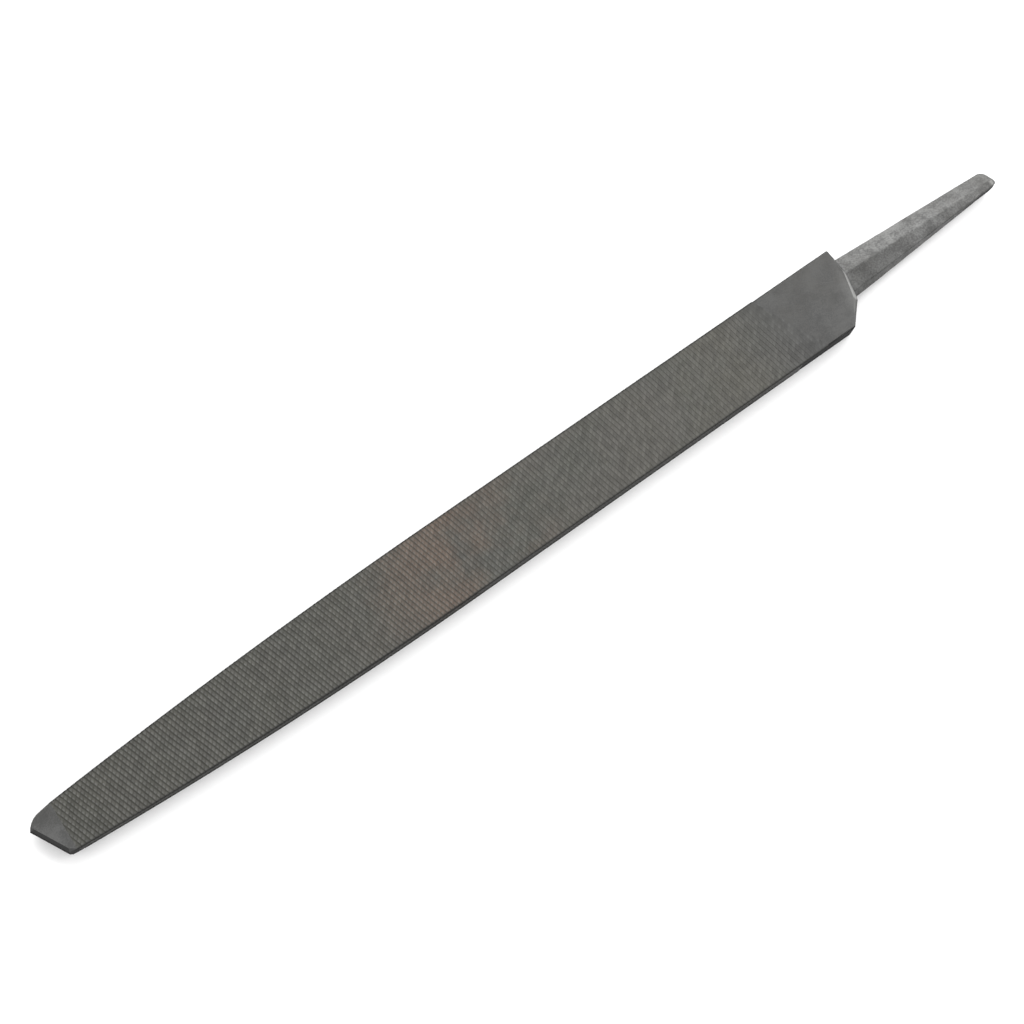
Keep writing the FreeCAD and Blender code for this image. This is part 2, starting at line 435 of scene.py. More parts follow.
    def lean_rows(geometry: Socket) -> Socket:
        """Turn the rows slowly along the blade and let them wander a little.

        Args:
            geometry: The surface.

        Returns:
            The surface with leaning rows.
        """
        x, y, z = position()
        span = graph.smooth_step(x, given["Cut start"], given["Cut end"])
        change = graph.math("SUBTRACT", given["Lean at heel"], given["Lean at point"])
        lean = graph.math("MULTIPLY_ADD", span, change, given["Lean at point"])
        wave = graph.math("MULTIPLY", uneven(WANDER_SCALE)[0], given["Wander"])
        shake_x, shake_y, _ = uneven(BURR_SCALE)
        shift_x = graph.math("MULTIPLY_ADD", lean, y, wave)
        shift_x = graph.math("MULTIPLY_ADD", shake_x, given["Burr"], shift_x)
        shift_y = graph.math("MULTIPLY", shake_y, given["Burr"])
        return moved(geometry, graph.vector(graph.math("ADD", x, shift_x),
                                            graph.math("ADD", y, shift_y), z))

    def trim(geometry: Socket) -> Socket:
        """Drop what lies outside the outline, and pull what straddles it on to it.

        Args:
            geometry: The surface.

        Returns:
            The trimmed surface.
        """
        marked = stored(geometry, "outside", outside(0.0), "BOOLEAN")
        flag = graph.add("GeometryNodeInputNamedAttribute", {"Name": "outside"},
                         data_type="BOOLEAN")
        kept = graph.add("GeometryNodeDeleteGeometry",
                         {"Geometry": marked, "Selection": flag.outputs[0]},
                         domain="FACE")
        bare = graph.add("GeometryNodeRemoveAttribute",
                         {"Geometry": kept.outputs[0], "Name": "outside"})
        x, y, z = position()
        end, _, _ = limits(x, y)
        inner_x = graph.math("MINIMUM", graph.math("MAXIMUM", x, given["Cut start"]), end)
        _, low, high = limits(inner_x, y)
        inner_y = graph.math("MINIMUM", graph.math("MAXIMUM", y, low), high)
        return moved(bare.outputs[0], graph.vector(inner_x, inner_y, z))

    def sink(geometry: Socket) -> Socket:
        """Lay the surface on the blade and sink its gullets.

        Args:
            geometry: The flat, trimmed surface.

        Returns:
            The toothed surface.
        """
        x, y, _ = position()
        end, _, _ = limits(x, y)
        crest = graph.add("GeometryNodeInputNamedAttribute", {"Name": "crest"},
                          data_type="FLOAT").outputs[0]
        run_in = graph.smooth_step(graph.math("SUBTRACT", x, given["Cut start"]), 0.0, RUN_IN)
        run_out = graph.smooth_step(graph.math("SUBTRACT", end, x), 0.0, RUN_OUT)
        use = graph.smooth_step(x, given["Cut start"], given["Cut end"])
        left = graph.math("MULTIPLY_ADD", use, -DEPTH_LOST, 1.0)
        strength = graph.math("MULTIPLY", graph.math("MULTIPLY", run_in, run_out),
                              graph.math("MULTIPLY", given["Tooth depth"], left))
        missing = graph.math("SUBTRACT", 1.0, crest)
        worn = graph.math("MULTIPLY", graph.math("ABSOLUTE", uneven(WEAR_SCALE)[2]), DEPTH_WORN)
        depth = graph.math("MULTIPLY", strength, graph.math("ADD", missing, worn))
        face = graph.math("SUBTRACT", given["Face height"], fall(x, given["Face arc"]))
        _, low, high = limits(x, y)
        inside = graph.math("MINIMUM", graph.math("SUBTRACT", high, y),
                            graph.math("SUBTRACT", y, low))
        # The rim marks the dark band of painted shade along the outline.
        rim = graph.math("SUBTRACT", 1.0, graph.smooth_step(inside, RIM_OUTER, RIM_INNER))
        return moved(stored(geometry, "rim", rim),
                     graph.vector(x, y, graph.math("SUBTRACT", face, depth)))

    surface = sink(trim(lean_rows(place_teeth())))
    dressed = graph.add("GeometryNodeSetMaterial",
                        {"Geometry": surface, "Material": given["Material"]})
    graph.feed(taken.inputs[0], dressed.outputs[0])
    return graph.tree


@dataclass(frozen=True)
class Cut:
    """Pitch and direction of the teeth on a surface. Waves are in cycles per metre."""

    shape: ToothShape
    row_wave: tuple[float, float]
    lane_wave: tuple[float, float]
    depth: float
    lean_at_point: float
    lean_at_heel: float

    @property
    def row_step(self) -> Vector:
        """Step to the next row along a lane."""
        return Vector((self.lane_wave[1], -self.lane_wave[0], 0)) / self._twist

    @property
    def lane_step(self) -> Vector:
        """Step to the next lane along a row."""
        return Vector((-self.row_wave[1], self.row_wave[0], 0)) / self._twist

    @property
    def long_step(self) -> Vector:
        """Step to the tooth behind, over a row and as many lanes as keep it nearly in line."""
        lanes = round(-self.row_step.y / self.lane_step.y)
        return self.row_step + lanes * self.lane_step

    @property
    def _twist(self) -> float:
        """Cells in a square metre, signed by which way the lanes cross the rows."""
        return self.row_wave[0] * self.lane_wave[1] - self.row_wave[1] * self.lane_wave[0]


# Rows lean a little from square, and the crossing cuts run at about 45 degrees the other way.
FACE_CUT = Cut(DOUBLE_CUT, row_wave=(830, 200), lane_wave=(790, -740), depth=0.16 * MM,
               lean_at_point=-0.10, lean_at_heel=0.09)
EDGE_CUT = Cut(SINGLE_CUT, row_wave=(900, 320), lane_wave=(0, -250), depth=0.22 * MM,
               lean_at_point=0.0, lean_at_heel=0.0)


# ---------------------------------------------------------------- mesh helpers


def close_underneath(mesh: bpy.types.Mesh, floor: Callable[[float], float]) -> None:
    """Turn a surface with one rim into a closed layer, with walls and an underside.

    Args:
        mesh: The surface, whose long direction is X.
        floor: Height of the underside at each X.
    """
    body = bmesh.new()
    body.from_mesh(mesh)
    rim = rim_in_order(body)
    edging = body.verts.layers.float["rim"]
    under = [body.verts.new((vertex.co.x, vertex.co.y, floor(vertex.co.x))) for vertex in rim]
    # The walls and underside take the full rim of painted shade.
    for vertex in under:
        vertex[edging] = 1.0
    for i, vertex in enumerate(rim):
        body.faces.new((vertex, rim[i - 1], under[i - 1], under[i]))
    # The underside is sewn from one corner to the far one, always along the side that is behind.
    first = under.index(min(under, key=lambda vertex: vertex.co.x + vertex.co.y * MM))
    turned = under[first:] + under[:first]
    last = turned.index(max(turned, key=lambda vertex: vertex.co.x - vertex.co.y * MM))
    one, other = turned[:last + 1], [turned[0], *reversed(turned[last:])]
    i = j = 0
    while i < len(one) - 1 or j < len(other) - 1:
        ahead_one = one[i + 1].co.x if i < len(one) - 1 else math.inf
        ahead_other = other[j + 1].co.x if j < len(other) - 1 else math.inf
        move_one = ahead_one <= ahead_other
        ahead = one[i + 1] if move_one else other[j + 1]
        if len({one[i], other[j], ahead}) == 3:
            body.faces.new((one[i], other[j], ahead))
        i, j = (i + 1, j) if move_one else (i, j + 1)
    bmesh.ops.recalc_face_normals(body, faces=body.faces)
    body.to_mesh(mesh)
    body.free()


def rim_in_order(body: bmesh.types.BMesh) -> list[bmesh.types.BMVert]:
    """Walk once round the rim of a surface.

    Args:
        body: The surface, which has one rim.

    Returns:
        The rim's vertices in order.
    """
    edges = [edge for edge in body.edges if edge.is_boundary]
    start = edges[0].verts[0]
    walk, used, here = [start], {edges[0]}, edges[0].verts[1]
    while here is not start:
        walk.append(here)
        onward = next(edge for edge in here.link_edges if edge.is_boundary and edge not in used)
        used.add(onward)
        here = onward.other_vert(here)
    if len(used) != len(edges):
        log.warning("the surface has more than one rim: %d of %d edges", len(used), len(edges))
    return walk


def loft(name: str, loops: Sequence[Sequence[Vector]]) -> bpy.types.Mesh:
    """Join closed loops of points into one closed skin, capped at both ends.

    Args:
        name: The mesh's name.
        loops: Loops with the same number of points each, in order.

    Returns:
        The mesh.
    """
    mesh = bpy.data.meshes.new(name)
    count = len(loops[0])
    points = [point for loop in loops for point in loop]
    faces = [tuple(range(count)), tuple(range(len(points) - count, len(points)))]
    for level in range(len(loops) - 1):
        for i in range(count):
            after = (i + 1) % count
            low, high = level * count, (level + 1) * count
            faces.append((low + i, low + after, high + after, high + i))
    mesh.from_pydata(points, [], faces)
    body = bmesh.new()
    body.from_mesh(mesh)
    bmesh.ops.remove_doubles(body, verts=body.verts, dist=0.002 * MM)
    bmesh.ops.recalc_face_normals(body, faces=body.faces)
    body.to_mesh(mesh)
    body.free()
    return mesh


def inset(outline: Sequence[Vector], amounts: Sequence[float]) -> list[Vector]:
    """Move each corner of a plan outline inwards by an amount of its own.

    Args:
        outline: The corners, anticlockwise from above.
        amounts: How far the edges beside each corner move.

    Returns:
        The corners of the smaller outline.
    """
    moved = []
    for i, corner in enumerate(outline):
        before = (corner - outline[i - 1]).normalized()
        after = (outline[(i + 1) % len(outline)] - corner).normalized()
        middle = (before + after).normalized()
        inwards = Vector((-middle.y, middle.x, 0))
        moved.append(corner + inwards * amounts[i] / max(middle.dot(after), 0.5))
    return moved


def round_corners(corners: Sequence[Vector], radii: Sequence[float], arc_steps: int,
                  edge_steps: int = 1) -> list[Vector]:
    """Round the corners of a closed outline.

    Args:
        corners: The sharp corners.
        radii: How far from each corner its rounding starts.
        arc_steps: Steps round each corner.
        edge_steps: Steps along each straight edge.

    Returns:
        The outline, with the same number of points for any outline with as many corners.
    """
    count = len(corners)
    points = []
    for i, corner in enumerate(corners):
        before, after = corners[i - 1] - corner, corners[(i + 1) % count] - corner
        first = corner + before * min(radii[i] / before.length, 0.4)
        last = corner + after * min(radii[i] / after.length, 0.4)
        for step in range(arc_steps + 1):
            share = step / arc_steps
            points.append(first.lerp(corner, share).lerp(corner.lerp(last, share), share))
        back = corners[(i + 1) % count]
        onward = back - after * min(radii[(i + 1) % count] / after.length, 0.4)
        for step in range(1, edge_steps):
            points.append(last.lerp(onward, step / edge_steps))
    return points


def soften(mesh: bpy.types.Mesh, angle: float) -> None:
    """Shade a mesh smoothly, except over edges sharper than an angle in degrees."""
    mesh.shade_smooth()
    mesh.set_sharp_from_angle(angle=math.radians(angle))


def rest_on_frame(name: str, mesh: bpy.types.Mesh, nodes: Sequence[str]
                  ) -> bpy.types.Object:
    """Make a piece of the file from a finished mesh.

    Args:
        name: The piece's name.
        mesh: The mesh, in the frame's place and size.
        nodes: The frame's nodes that it stands for.

    Returns:
        The piece.
    """
    piece = bpy.data.objects.new(name, mesh)
    bpy.context.scene.collection.objects.link(piece)
    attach(piece, BODY)
    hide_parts(*nodes)
    log.info("%s: %d faces, stands for %s", name, len(mesh.polygons), ", ".join(nodes))
    return piece


# ---------------------------------------------------------------- the file's pieces


@dataclass(frozen=True)
class ToothedSurface:
    """A long surface of the blade, cut with teeth, as one closed layer."""

    name: str
    node: str
    cut: Cut
    reach: float
    plus_arc: float
    minus_arc: float
    face_height: float
    face_arc: float
    layer: float
    cut_end: float
    end_slant: float
    seed: float
    turn: Matrix
    form: BladeForm
    wander: float = 0.5 * MM
    burr: float = 0.10 * MM

    def build(self, tree: bpy.types.NodeTree, steel: bpy.types.Material) -> bpy.types.Object:
        """Cut the teeth, close the layer and turn it into its place.

        Args:
            tree: The geometry nodes that cut teeth.
            steel: The material of the teeth.

        Returns:
            The piece.
        """
        tooth = self.cut.shape.patch(self.cut.row_step, self.cut.lane_step)
        mesh = run_geometry(tree, self.name, self._values(tooth, steel))
        bpy.data.objects.remove(tooth)
        close_underneath(mesh, self._floor)
        mesh.transform(self.turn)
        mesh.materials.clear()
        mesh.materials.append(steel)
        return rest_on_frame(self.name, mesh, [self.node])

    def _values(self, tooth: bpy.types.Object, steel: bpy.types.Material) -> dict[str, Any]:
        """Work out the inputs of the geometry nodes.

        Args:
            tooth: One tooth.
            steel: The material of the teeth.

        Returns:
            The values by input name.
        """
        long_step, lane_step = self.cut.long_step, self.cut.lane_step
        length = self.cut_end - self.form.cut_start + 2 * MARGIN
        drift = abs(long_step.y) * length / long_step.x
        lanes = math.ceil((2 * self.reach + 2 * MARGIN + drift) / abs(lane_step.y)) + 1
        shear = lane_step.x * lanes
        rows = math.ceil((length + shear + self.end_slant * self.reach) / long_step.x) + 1
        first = (self.form.cut_start - MARGIN - shear, self.reach + MARGIN + drift, 0)
        return {
            "Tooth": tooth, "Rows": rows, "Lanes": lanes, "Long step": long_step,
            "Lane step": lane_step, "First tooth": first, "Seed": self.seed, "Material": steel,
            "Cut start": self.form.cut_start, "Cut end": self.cut_end,
            "End slant": self.end_slant, "Taper start": self.form.taper_start,
            "Reach": self.reach, "Plus arc": self.plus_arc, "Minus arc": self.minus_arc,
            "Face height": self.face_height, "Face arc": self.face_arc,
            "Tooth depth": self.cut.depth, "Wander": self.wander, "Burr": self.burr,
            "Lean at point": self.cut.lean_at_point, "Lean at heel": self.cut.lean_at_heel,
        }

    def _floor(self, x: float) -> float:
        """Height of the layer's underside at a place along the blade."""
        fallen = arc_drop(self.form.taper_start - x, self.face_arc)
        return self.face_height - self.layer - fallen


@dataclass
class Blade:
    """The toothed length of the blade: two double-cut faces and two single-cut edges."""

    form: BladeForm
    edge_layer: float = 0.4 * MM

    def face(self, side: Side) -> ToothedSurface:
        """Describe one of the two faces.

        Args:
            side: Which face.

        Returns:
            The toothed face.
        """
        form = self.form
        plus, minus = (Edge.RIGHT, Edge.LEFT) if side is Side.UPPER else (Edge.LEFT, Edge.RIGHT)
        across, sink = (1, 0) if side is Side.UPPER else (-1, form.thick)
        turn = Matrix(((1, 0, 0, 0), (0, across, 0, 0), (0, 0, across, sink), (0, 0, 0, 1)))
        name = side.name.lower()
        return ToothedSurface(
            name=f"{name}_teeth", node=f"{name}_face_cut", cut=FACE_CUT, reach=form.half_width,
            plus_arc=form.edge_arc(plus), minus_arc=form.edge_arc(minus),
            face_height=form.thick, face_arc=form.face_arc, layer=form.cut_layer,
            cut_end=form.cut_end, end_slant=form.cut_slant / form.half_width,
            seed=float(side.value), turn=turn, form=form)

    def edge(self, edge: Edge) -> ToothedSurface:
        """Describe one of the two narrow edges.

        Args:
            edge: Which edge.

        Returns:
            The toothed edge.
        """
        form = self.form
        middle = form.thick / 2
        out = edge.value
        turn = Matrix(((1, 0, 0, 0), (0, 0, out, 0), (0, -out, 0, middle), (0, 0, 0, 1)))
        name = edge.name.lower()
        return ToothedSurface(
            name=f"{name}_edge_teeth", node=f"{name}_edge_cut", cut=EDGE_CUT,
            reach=middle - form.cut_layer, plus_arc=form.face_arc, minus_arc=form.face_arc,
            face_height=form.half_width, face_arc=form.edge_arc(edge), layer=self.edge_layer,
            cut_end=form.core_end, end_slant=0.0, seed=float(2 + edge.value), turn=turn,
            form=form)


@dataclass
class Point:
    """The smooth, slanted end of the blade, with its edges ground off at an angle."""

    form: BladeForm
    nose_left: float = 5.9 * MM
    nose_left_setback: float = 5.3 * MM
    nose_right: float = 4.1 * MM
    round_right: float = 6.95 * MM
    round_run: float = 4.5 * MM
    round_radius: float = 5.5 * MM
    round_steps: int = 5
    side_bevel: float = 0.15 * MM
    round_bevel: float = 1.7 * MM
    nose_bevel: float = 1.3 * MM
    nose_drop: float = 1.1 * MM
    round_drop: float = 0.5 * MM
    side_drop: float = 0.12 * MM
    bevel_shares: tuple[float, ...] = (1.0, 0.35, 0.0)
    bevel_curve: float = 1.1

    def outline(self) -> tuple[list[Vector], list[float], list[float]]:
        """Plan outline of the point, anticlockwise from the left end of the first teeth.

        Returns:
            The corners, and the width and the drop of the bevel at each.
        """
        form = self.form
        start = Vector((form.nose + self.round_run, self.round_right, 0))
        end = Vector((form.nose, self.nose_right, 0))
        chord = end - start
        right = Vector((chord.y, -chord.x, 0)).normalized()
        half = chord.length / 2
        centre = (start + end) / 2 - right * math.sqrt(self.round_radius ** 2 - half ** 2)
        first = math.atan2(start.y - centre.y, start.x - centre.x)
        last = math.atan2(end.y - centre.y, end.x - centre.x)
        round_corner, widths, drops = [], [self.side_bevel] * 2, [self.side_drop] * 2
        for step in range(self.round_steps + 1):
            angle = first + (last - first) * step / self.round_steps
            round_corner.append(centre + self.round_radius
                                * Vector((math.cos(angle), math.sin(angle), 0)))
            share = max(0.0, 1.5 * step / self.round_steps - 0.5)
            widths.append(self.round_bevel + share * (self.nose_bevel - self.round_bevel))
            drops.append(self.round_drop + share * (self.nose_drop - self.round_drop))
        corners = [
            Vector((form.cut_start, -form.point_left, 0)),
            Vector((form.cut_start, form.point_right, 0)),
            *round_corner,
            Vector((form.nose + self.nose_left_setback, -self.nose_left, 0)),
        ]
        return corners, [*widths, self.nose_bevel], [*drops, self.nose_drop]

    def build(self, steel: bpy.types.Material) -> bpy.types.Object:
        """Loft the point between its lower and upper bevels.

        Args:
            steel: The material.

        Returns:
            The piece.
        """
        corners, widths, drops = self.outline()
        loops = []
        lower = [(-1, share) for share in self.bevel_shares]
        for side, share in (*lower, *((1, share) for _, share in reversed(lower))):
            ring = inset(corners, [width * share for width in widths])
            loop = []
            for i, place in enumerate(ring):
                beside_teeth = i < 2
                x = self.form.cut_start if beside_teeth else place.x
                drop = drops[i] * (1 - share) ** self.bevel_curve
                top = self.form.face_height(x) - drop
                height = top if side > 0 else self.form.thick - top
                loop.append(Vector((x, place.y, height)))
            loops.append(loop)
        mesh = loft("smooth_point", loops)
        mesh.materials.append(steel)
        soften(mesh, 15)
        return rest_on_frame("smooth_point", mesh, ["point"])


@dataclass(frozen=True)
class Section:
    """The tang's six-sided section at one station, in metres."""

    left: float
    facet_left: float
    facet_right: float
    right: float
    low: float
    middle: float
    high: float

    def corners(self, shrink: float) -> list[Vector]:
        """Corners of the section as (0, y, z).

        Args:
            shrink: How far the section is drawn in all round.

        Returns:
            The six corners.
        """
        low, high = self.low + shrink, self.high - shrink
        facet_left, facet_right = shrink - self.facet_left, self.facet_right - shrink
        return [Vector((0, y, z)) for y, z in (
            (facet_left, low), (facet_right, low), (self.right - shrink, self.middle),
            (facet_right, high), (facet_left, high), (shrink - self.left, self.middle))]


@dataclass
class Tang:
    """The forged prong that a handle goes on: six hammered facets and a blunt end.

    Its dents are pairs of a depth and a width.
    """

    form: BladeForm
    root: Section = Section(*(size * MM for size in (3.9, 2.6, 3.0, 8.3, 0.6, 2.6, 4.9)))
    end: Section = Section(*(size * MM for size in (0.7, 0.5, 1.3, 5.5, 1.1, 2.7, 4.4)))
    length: float = 53 * MM
    blunt_run: float = 2.6 * MM
    blunt_end: float = 0.3
    corner: float = 0.36 * MM
    flare: float = 0.02 * MM
    stations: int = 96
    blunt_steps: int = 12
    dents: tuple[tuple[float, float], ...] = ((0.05 * MM, 5 * MM), (0.03 * MM, 1.1 * MM))

    def ring(self, x: float) -> list[Vector]:
        """Find the tang's rounded and hammered section at a place along it.

        Args:
            x: The place.

        Returns:
            Points round the section.
        """
        start = self.form.shoulder + self.form.root_step
        end = self.form.shoulder + self.length - self.blunt_run
        share = min(max((x - start) / (end - start), 0.0), 1.0)
        over = min(max((x - end) / self.blunt_run, 0.0), 1.0)
        swell = self.flare * min(max((start - x) / self.form.root_step, 0.0), 1.0) ** 2
        root, finish = self.root.corners(-swell), self.end.corners(-swell)
        corners = [one.lerp(other, share) for one, other in zip(root, finish)]
        middle = sum(corners, Vector()) / len(corners)
        narrow = self.blunt_end + (1 - self.blunt_end) * math.sqrt(1 - over ** 2)
        points = []
        for point in round_corners(corners, [self.corner] * 6, 4, 5):
            outwards = point - middle
            place = middle + outwards * narrow
            place.x = x
            dent = sum(deep * (1 + noise.noise(place / wide)) for deep, wide in self.dents)
            points.append(place - outwards.normalized() * dent * min(1.0, (1.02 - over) * 6))
        return points

    def rings(self, start: float, end: float, count: int) -> list[list[Vector]]:
        """Find count sections of the tang between two places along it."""
        return [self.ring(start + (end - start) * i / (count - 1)) for i in range(count)]

    def build(self, steel: bpy.types.Material) -> bpy.types.Object:
        """Loft the tang from its root to its blunt end.

        Args:
            steel: The material.

        Returns:
            The piece.
        """
        start = self.form.shoulder + self.form.root_step
        tip = self.form.shoulder + self.length
        loops = self.rings(start, tip - self.blunt_run, self.stations)
        for step in range(1, self.blunt_steps + 1):
            angle = math.radians(90 * step / self.blunt_steps)
            loops.append(self.ring(tip - self.blunt_run * (1 - math.sin(angle))))
        mesh = loft("forged_tang", loops)
        mesh.materials.append(steel)
        soften(mesh, 30)
        return rest_on_frame("forged_tang", mesh, ["tang"])


@dataclass
class Heel:
    """The smooth end of the blade: a square right shoulder, and a left one cut back in steps.

    Each corner of the shoulder is (back from the shoulder, y) at its foot, then on the face.
    """

    form: BladeForm
    tang: Tang
    corners: tuple[tuple[float, float, float, float], ...] = (
        (8.3, -11.0, 8.75, -10.6),
        (5.3, -7.9, 6.05, -7.6),
        (2.4, -5.0, 3.35, -4.35),
        (0.0, 3.2, 0.75, 2.9),
        (0.0, 11.0, 0.3, 10.6),
    )
    side_bevel: float = 0.4 * MM
    shoulder_drop: float = 0.5 * MM
    side_drop: float = 0.42 * MM
    corner_radius: float = 0.45 * MM
    root_inside: float = 6.5 * MM
    bevel_shares: tuple[float, ...] = (1.0, 0.6, 0.25, 0.0)
    bevel_curve: float = 1.5

    def build(self, steel: bpy.types.Material, forged: bpy.types.Material
              ) -> bpy.types.Object:
        """Loft the heel from its lower face to its upper one, and add the tang's root.

        Args:
            steel: The material.
            forged: The root's material.

        Returns:
            The piece.
        """
        loops = [self._loop(level) for level in range(8)]
        mesh = loft("smooth_heel", loops)
        form = self.form
        start, end = form.shoulder - self.root_inside, form.shoulder + form.root_step
        root = loft("tang_root", [*self.tang.rings(start, form.shoulder - 0.4 * MM, 6),
                                  *self.tang.rings(form.shoulder - 0.2 * MM, end, 9)])
        for polygon in root.polygons:
            polygon.material_index = 1
        body = bmesh.new()
        body.from_mesh(mesh)
        body.from_mesh(root)
        body.to_mesh(mesh)
        body.free()
        bpy.data.meshes.remove(root)
        mesh.materials.append(steel)
        mesh.materials.append(forged)
        soften(mesh, 16)
        return rest_on_frame("smooth_heel", mesh, ["heel"])

    def _loop(self, level: int) -> list[Vector]:
        """Find one of the heel's eight levels.

        Args:
            level: 0 to 7, from the lower face to the upper one.

        Returns:
            Its outline.
        """
        form = self.form
        upper = level > 3
        share = self.bevel_shares[7 - level if upper else level]
        shoulder = []
        for *foot, back, y in self.corners:
            back, y = (one + (other - one) * share for one, other in zip(foot, (back, y)))
            shoulder.append(Vector((form.shoulder - back * MM, y * MM, 0)))
        drops = [self.shoulder_drop] * 4 + [self.side_drop]
        points = []
        radii = [0.0] * 2 + [self.corner_radius] * len(shoulder)
        rounded = round_corners([*self._front(level), *shoulder], radii, 3)
        heights = [0.0 if level in (0, 7) else form.cut_layer] * 2
        heights += [drop * (1 - share) ** self.bevel_curve for drop in drops]
        for i, point in enumerate(rounded):
            height = heights[i // 4]
            if upper:
                height = form.thick - height
            points.append(Vector((point.x, point.y, height)))
        return points

    def _front(self, level: int) -> list[Vector]:
        """Find the two front corners, where the last teeth end.

        Args:
            level: 0 to 7, from the lower face to the upper one.

        Returns:
            The right corner and the left one.
        """
        form = self.form
        outer = level in (0, 1, 6, 7)
        side = 1 if level > 3 else -1
        inset_y = self.side_bevel if level in (0, 7) else 0.0
        places = []
        for y in (form.half_width - inset_y, inset_y - form.half_width):
            slanted = form.cut_end - side * form.cut_slant * y / form.half_width
            places.append(Vector((slanted if outer else form.core_end, y, 0)))
        return places


# ---------------------------------------------------------------- shared shader effects


@dataclass(frozen=True)
class Effects:
    """Shader node groups that the finishes share."""

    tone: bpy.types.NodeTree
    marks: bpy.types.NodeTree
    # Masks of painted shade on steep sides and of a painted sheen on bevels.
    sides: bpy.types.NodeTree


def noise_value(graph: Graph, place: Any, scale: Any, detail: float = 2.0) -> Socket:
    """Add a noise texture around 0.5, with scale features in a metre and finer detail on top."""
    return graph.add("ShaderNodeTexNoise", {"Vector": place, "Scale": scale, "Detail": detail,
                                            "Roughness": 0.6}).outputs[0]


def blend(graph: Graph, share: Any, first: Any, second: Any, kind: str = "MIX") -> Socket:
    """Mix two colours, with share as the part of the second."""
    return graph.add("ShaderNodeMix", {0: share, 6: first, 7: second}, data_type="RGBA",
                     blend_type=kind).outputs[2]


def tone_group() -> bpy.types.NodeTree:
    """Build the mottled tone of worn steel: patches, fine grain and a stain.

    Returns:
        The group.
    """
    graph, given, taken = new_group("steel_tone", "ShaderNodeTree", [
        ("Dark", "NodeSocketColor"), ("Light", "NodeSocketColor"), ("Stain", "NodeSocketColor"),
        ("Stain share", "NodeSocketFloat"), ("Patch scale", "NodeSocketFloat"),
        ("Grain scale", "NodeSocketFloat"), ("Grain share", "NodeSocketFloat"),
    ], [("Colour", "NodeSocketColor"), ("Tone", "NodeSocketFloat"),
        ("Height", "NodeSocketFloat")])
    place = graph.add("ShaderNodeTexCoord").outputs["Object"]
    patch = noise_value(graph, place, given["Patch scale"], 4.0)
    grain = noise_value(graph, place, given["Grain scale"], 3.0)
    difference = graph.math("SUBTRACT", grain, patch)
    mixed = graph.math("MULTIPLY_ADD", difference, given["Grain share"], patch)
    tone = graph.smooth_step(mixed, 0.38, 0.62)
    colour = blend(graph, tone, given["Dark"], given["Light"])
    spread = graph.smooth_step(noise_value(graph, place, 55.0, 5.0), 0.34, 0.62)
    stained = blend(graph, graph.math("MULTIPLY", spread, given["Stain share"]), colour,
                    given["Stain"])
    for name, value in (("Colour", stained), ("Tone", tone), ("Height", grain)):
        graph.feed(taken.inputs[name], value)
    return graph.tree


def marks_group() -> bpy.types.NodeTree:
    """Build fine handling scratches in one direction, broken into short lengths.

    Returns:
        The group.
    """
    graph, given, taken = new_group("fine_marks", "ShaderNodeTree", [
        ("Turn", "NodeSocketFloat"), ("Spacing", "NodeSocketFloat", 900.0),
        ("Length", "NodeSocketFloat", 60.0), ("Width", "NodeSocketFloat", 0.02),
    ], [("Mask", "NodeSocketFloat")])
    place = graph.add("ShaderNodeTexCoord").outputs["Object"]
    turned = graph.add("ShaderNodeVectorRotate", {"Vector": place, "Angle": given["Turn"]},
                       rotation_type="Z_AXIS").outputs[0]
    x, y, z = graph.split(turned)
    stretched = graph.vector(graph.math("MULTIPLY", x, given["Length"]),
                             graph.math("MULTIPLY", y, given["Spacing"]),
                             graph.math("MULTIPLY", z, given["Spacing"]))
    offset = graph.math("ABSOLUTE", graph.math("SUBTRACT",
                                               noise_value(graph, stretched, 1.0), 0.5))
    line = graph.math("SUBTRACT", 1.0, graph.smooth_step(offset, 0.0, given["Width"]))
    broken = graph.smooth_step(noise_value(graph, place, 190.0, 1.0), 0.48, 0.6)
    graph.feed(taken.inputs["Mask"], graph.math("MULTIPLY", line, broken))
    return graph.tree


def shade_and_sheen_group() -> bpy.types.NodeTree:
    """Build masks for painted shade on the steep sides and for a painted sheen on bevels that
    face the tang.

    Returns:
        The group.
    """
    left_share = 0.7
    ledge_left, ledge_right = 2.5 * MM, 4.5 * MM
    ledge_slope, ledge_facing = (0.3, 0.6), (0.1, 0.3)
    graph, given, taken = new_group("steep_sides", "ShaderNodeTree", [
        ("Steep", "NodeSocketFloat"), ("Level", "NodeSocketFloat"), ("Worn", "NodeSocketFloat"),
    ], [("Mask", "NodeSocketFloat"), ("Bevel", "NodeSocketFloat")])
    normal = graph.add("ShaderNodeNewGeometry").outputs["True Normal"]
    along, across, upward = graph.split(normal)
    slope = graph.math("ABSOLUTE", upward)
    level = graph.smooth_step(slope, given["Steep"], given["Level"])
    facing = graph.math("MINIMUM", along, graph.math("MULTIPLY_ADD", across, left_share, along))
    _, y, _ = graph.split(graph.add("ShaderNodeTexCoord").outputs["Object"])
    # A painted sheen on sloped bevels that face the tang, left of y 2.5 to 4.5 mm.
    beside = graph.math("MULTIPLY", graph.smooth_step(y, ledge_right, ledge_left), given["Worn"])
    ledge = graph.math("MULTIPLY", beside, graph.smooth_step(slope, *ledge_slope))
    bevel = graph.math("MULTIPLY", ledge, graph.smooth_step(facing, *ledge_facing))
    # Steep faces get painted shade: a dark, matt colour.
    steep = graph.math("SUBTRACT", 1.0, level)
    graph.feed(taken.inputs["Mask"], graph.math("MULTIPLY", steep,
                                                graph.math("SUBTRACT", 1.0, bevel)))
    graph.feed(taken.inputs["Bevel"], bevel)
    return graph.tree


# ---------------------------------------------------------------- finishes


